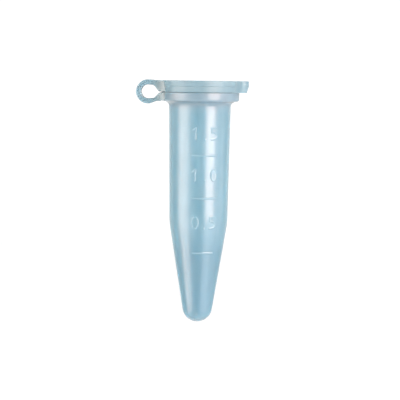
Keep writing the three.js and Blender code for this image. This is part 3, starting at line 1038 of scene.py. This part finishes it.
@dataclass
class HingeStrap:
    """The strap, bent into a loop, in one length for each joint that it crosses."""

    width: float = 4.6
    thickness: float = 0.86
    corner: float = 0.2
    gusset_length: float = 1.15
    gusset_foot: float = 0.25
    gusset_toe: float = 0.1
    gusset_growth: float = 0.09
    flare: float = 1.3
    flare_length: float = 2.4
    straight_rows: int = 34
    bent_rows: int = 22
    bend_share: float = 0.42
    flattened: float = 0.12
    ease_length: float = 1.4
    gusset_toe_radius: float = 0.7
    gusset_foot_radius: float = 0.3
    milky_from: float = -6.9

    def __post_init__(self) -> None:
        """Reads the loop from the joints' hinge lines, and the roots from the CAD nodes."""
        lines = {j["name"]: np.array(j["pos_m"]) / MM for j in frame["joints"]}
        near_tube, middle = lines["strap_bend_1"], lines["strap_bend_2"]
        near_lid = lines["lid_hinge"]
        self.loop_height = middle[2]
        chord = near_lid[2] - near_tube[2]
        self.turn = math.pi / len(lines)
        self.loop_radius = chord / 2 / math.sin(self.turn)
        self.loop_x = middle[0] + self.loop_radius
        collar, plate = Extent.of("mouth_collar"), Extent.of("lid_plate")
        root_tube, root_lid = Extent.of("strap_root_tube"), Extent.of("strap_root_lid")
        low_run = self.loop_height - self.loop_radius
        high_run = self.loop_height + self.loop_radius
        closer = self.gusset_growth
        self.tube_root = StrapRoot(
            collar.high[0], -low_run, root_tube.high[2] - low_run + closer, 0.32, 0.16
        )
        self.lid_root = StrapRoot(
            plate.high[0],
            high_run - plate.high[2],
            high_run - root_lid.low[2] + closer,
            0.38,
            0.05,
        )

    def build(self) -> list[bpy.types.Object]:
        """Builds the three lengths and dresses them.

        Returns:
            The pieces, from the tube to the lid.
        """
        material = STRAP_FINISH.material()
        sides = self._section_sides()
        bend = [self._bent(i * self.turn, (i + 1) * self.turn, sides) for i in range(3)]
        near_tube = np.concatenate([self._run(self.tube_root, sides), bend[0][1:]])
        lid_run = self._run(self.lid_root, sides) * (1, 1, -1) + (0, 0, 2 * self.loop_height)
        near_lid = np.concatenate([bend[2], lid_run[:-1][::-1]])
        lengths = [
            ("strap_at_tube", near_tube, (Body.TUBE, Body.NEAR_TUBE), ["strap_root_tube"]),
            ("strap_middle", bend[1], (Body.NEAR_TUBE, Body.NEAR_LID), ["strap_link_1"]),
            (
                "strap_at_lid",
                near_lid,
                (Body.NEAR_LID, Body.LID),
                ["strap_link_2", "strap_root_lid"],
            ),
        ]
        pieces = []
        for i, (name, grid, bodies, nodes) in enumerate(lengths):
            ends = grid[0].mean(0), grid[-1].mean(0)
            piece = closed_skin(name, grid, *ends)
            along = np.concatenate([grid[..., 0].ravel(), [end[0] for end in ends]])
            put_values(piece, "thickness", smoothstep(self.loop_x, self.milky_from, along))
            piece.data.materials.append(material)
            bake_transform(piece)
            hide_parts(*nodes)
            pieces.append(piece)
        return pieces

    def _section_sides(self) -> tuple[np.ndarray, np.ndarray, np.ndarray]:
        """A rounded rectangle's sides, as what scales with its thickness and what doesn't.

        Going round, each corner is a quarter of a circle about a centre that stands a corner's
        radius in from the two sides.

        Returns:
            For each point: its place across the width, which face it is on (-1 or 1) and its
            rise from its corner's centre.
        """
        quarter = np.linspace(0.0, math.pi / 2, 7)
        turn = np.concatenate([quarter + k * math.pi / 2 for k in range(4)])
        right = np.repeat([1.0, -1.0, -1.0, 1.0], len(quarter))
        face = np.repeat([1.0, 1.0, -1.0, -1.0], len(quarter))
        across = right * (self.width / 2 - self.corner) + self.corner * np.cos(turn)
        return across, face, self.corner * np.sin(turn)

    def _run(self, root: StrapRoot, sides: tuple[np.ndarray, ...]) -> np.ndarray:
        """The straight run from inside the round edge to the start of the loop.

        The outer face eases from the root's level to the loop's, and the inner face carries the
        gusset. Each column starts inside the edge, so the end is as round as the edge, and its
        sides flare out to it as the square of the distance left.

        Args:
            root: The root's levels.
            sides: The section's sides.

        Returns:
            The grid's points, from the root outwards.
        """
        across, face, rise = sides
        edge = root.edge_radius
        wide = across + np.sign(across) * self.flare
        starts = -np.sqrt((edge - root.buried) ** 2 - wide**2)
        share = np.linspace(0.0, 1.0, self.straight_rows)[:, None]
        x = starts + (self.loop_x - starts) * share
        near = (1 - (starts - x) / self.flare_length).clip(0.0, 1.0)
        y = across + np.sign(across) * self.flare * near**2
        half = self.thickness / 2
        ease = smoothstep(0.0, self.ease_length, -edge - self.gusset_length / 2 - x)
        outer = root.outer_level * (1 - ease) - half * ease
        outer = outer + root.tuck * smoothstep(-edge - 0.1, -edge + 0.25, x)
        line = rounded(
            [
                (-self.loop_x - 1e-3, half, 0.0),
                (edge + self.gusset_length, half + self.gusset_toe / 2, self.gusset_toe_radius),
                (edge + self.gusset_foot, root.gusset_level, self.gusset_foot_radius),
                (0.0, root.gusset_level, 0.0),
            ]
        )[::-1]
        inner = np.interp(-x, line[:, 0], line[:, 1])
        depth = (inner - outer) / 2
        z = (inner + outer) / 2 + face * (depth - self.corner) + rise
        z = z + self.loop_height - self.loop_radius
        return np.stack([x, y, z], axis=-1)

    def _bent(self, start: float, end: float, sides: tuple[np.ndarray, ...]) -> np.ndarray:
        """The section carried round the loop: a point's radius is the loop's less its rise.

        Between the hinge lines the loop is a little flatter than a circle, by a dip that goes as
        the square of a sine, so that the strap comes out nearly straight when it is unbent.

        Args:
            start: Turn round the loop at the first row, from the run at the tube.
            end: Turn at the last row.
            sides: The section's sides.

        Returns:
            The grid's points.
        """
        across, face, rise = sides
        turn = np.linspace(start, end, self.bent_rows)[:, None]
        between = np.sin((turn - self.turn / 2) * math.pi / self.turn) ** 2
        between *= np.abs(turn - math.pi / 2) < self.turn
        dip = self.flattened * self.loop_radius * (1 - math.cos(self.turn / 2))
        radius = self.loop_radius - (face * (self.thickness / 2 - self.corner) + rise)
        radius = radius - dip * between
        x = self.loop_x - radius * np.sin(turn)
        z = self.loop_height - radius * np.cos(turn)
        return np.stack([x, np.broadcast_to(across, x.shape), z], axis=-1)


# ---- Studio ----


@dataclass(frozen=True)
class Softbox:
    """A soft rectangular light, placed as seen from the object.

    Its azimuth, elevation, spread and rise are in degrees and its distance in metres.
    """

    name: str
    azimuth: float
    elevation: float
    spread: float
    rise: float
    radiance: float
    colour: tuple[float, float, float]
    distance: float = 0.7

    def build(self, centre: Vector) -> bpy.types.Object:
        """Makes the light, facing the centre.

        Its sides subtend the spread and the rise. A rectangle of area A that gives a radiance L
        has a power of pi A L.

        Args:
            centre: The point that it faces.

        Returns:
            The light.
        """
        width = 2 * self.distance * math.tan(math.radians(self.spread) / 2)
        height = 2 * self.distance * math.tan(math.radians(self.rise) / 2)
        light = bpy.data.lights.new(self.name, "AREA")
        light.shape = "RECTANGLE"
        light.size, light.size_y = width, height
        light.energy = math.pi * width * height * self.radiance
        light.color = self.colour
        lamp = bpy.data.objects.new(self.name, light)
        away = direction(self.azimuth, self.elevation)
        lamp.location = centre + away * self.distance
        lamp.rotation_euler = away.to_track_quat("Z", "Y").to_euler()
        bpy.context.scene.collection.objects.link(lamp)
        return lamp


def direction(azimuth: float, elevation: float) -> Vector:
    """The way from the object to something seen at an azimuth to the right of the front (-Y)."""
    a, e = math.radians(azimuth), math.radians(elevation)
    return Vector((math.sin(a) * math.cos(e), -math.cos(a) * math.cos(e), math.sin(e)))


@dataclass
class Studio:
    """A plain pale floor, soft lights, a white surround and the camera."""

    view_width: float = 68.45
    view_distance: float = 300.0
    view_elevation: float = 3.9
    view_roll: float = 0.8
    view_centre_x: float = 0.23
    view_centre_z: float = -16.84
    floor_drop: float = 0.40
    floor_side: float = 8.0
    surround: float = 1.08

    def build(self) -> None:
        """Builds the camera, the floor and the lights."""
        centre = Vector((self.view_centre_x, 0, self.view_centre_z)) * MM
        self._camera(centre)
        self._floor()
        self._surround()
        for softbox in (
            Softbox("key_softbox", 43.0, 14.0, 36.0, 46.0, 15.0, (1.0, 0.76, 0.67)),
            Softbox("fill_softbox", -64.0, 0.0, 42.0, 80.0, 5.6, (1.0, 0.8, 0.71)),
            Softbox("fill_diffuser", -53.0, 0.0, 66.0, 80.0, 1.7, (1.0, 0.8, 0.71)),
            Softbox("side_reflector", 85.0, -5.0, 40.0, 100.0, 1.7, (1.0, 0.84, 0.86)),
            Softbox("low_reflector", 43.0, -32.0, 40.0, 40.0, 3.6, (0.88, 0.92, 1.0)),
        ):
            softbox.build(centre)
        bpy.context.scene.view_settings.view_transform = "Standard"

    def _camera(self, centre: Vector) -> None:
        """A long lens, level with the lid and turned down to the middle of the tube."""
        data = bpy.data.cameras.new("camera")
        data.sensor_width = 36.0
        data.lens = 36.0 * self.view_distance / self.view_width
        data.clip_start, data.clip_end = 0.01, 50.0
        camera = bpy.data.objects.new("camera", data)
        away = direction(0.0, self.view_elevation)
        camera.location = centre + away * self.view_distance * MM
        camera.rotation_mode = "QUATERNION"
        roll = Quaternion((0, 0, 1), math.radians(self.view_roll))
        camera.rotation_quaternion = away.to_track_quat("Z", "Y") @ roll
        bpy.context.scene.collection.objects.link(camera)
        bpy.context.scene.camera = camera

    def _floor(self) -> None:
        """A flat square floor, well under the hanging tube."""
        half, height = self.floor_side / 2, -self.floor_drop
        sides = ((-half, -half), (half, -half), (half, half), (-half, half))
        corners = [(x, y, height) for x, y in sides]
        mesh = bpy.data.meshes.new("studio_floor")
        mesh.from_pydata(corners, [], [(0, 1, 2, 3)])
        mesh.update()
        floor = bpy.data.objects.new("studio_floor", mesh)
        bpy.context.scene.collection.objects.link(floor)
        mesh.materials.append(PaintedFloor().material())

    def _surround(self) -> None:
        """An even white light from all round."""
        world = bpy.data.worlds.new("white_surround")
        world.use_nodes = True
        tree = world.node_tree
        tree.nodes.clear()
        light = add_node(
            tree,
            "ShaderNodeBackground",
            None,
            {"Color": (1.0, 1.0, 1.0, 1.0), "Strength": self.surround},
        )
        add_node(tree, "ShaderNodeOutputWorld", None, {"Surface": light.outputs[0]})
        bpy.context.scene.world = world


def report(piece: bpy.types.Object) -> None:
    """Logs a finished piece with its triangles."""
    triangles = sum(len(face.vertices) - 2 for face in piece.data.polygons)
    LOG.info("%s: %d vertices, %d triangles", piece.name, len(piece.data.vertices), triangles)


def main() -> None:
    """Builds the studio and the pieces, in order, and reports each piece."""
    logging.basicConfig(level=logging.INFO, format="%(name)s: %(message)s")
    Studio().build()
    report(TubeShell().build())
    report(LidShell().build())
    for piece in HingeStrap().build():
        report(piece)


if __name__ == "__main__":
    main()
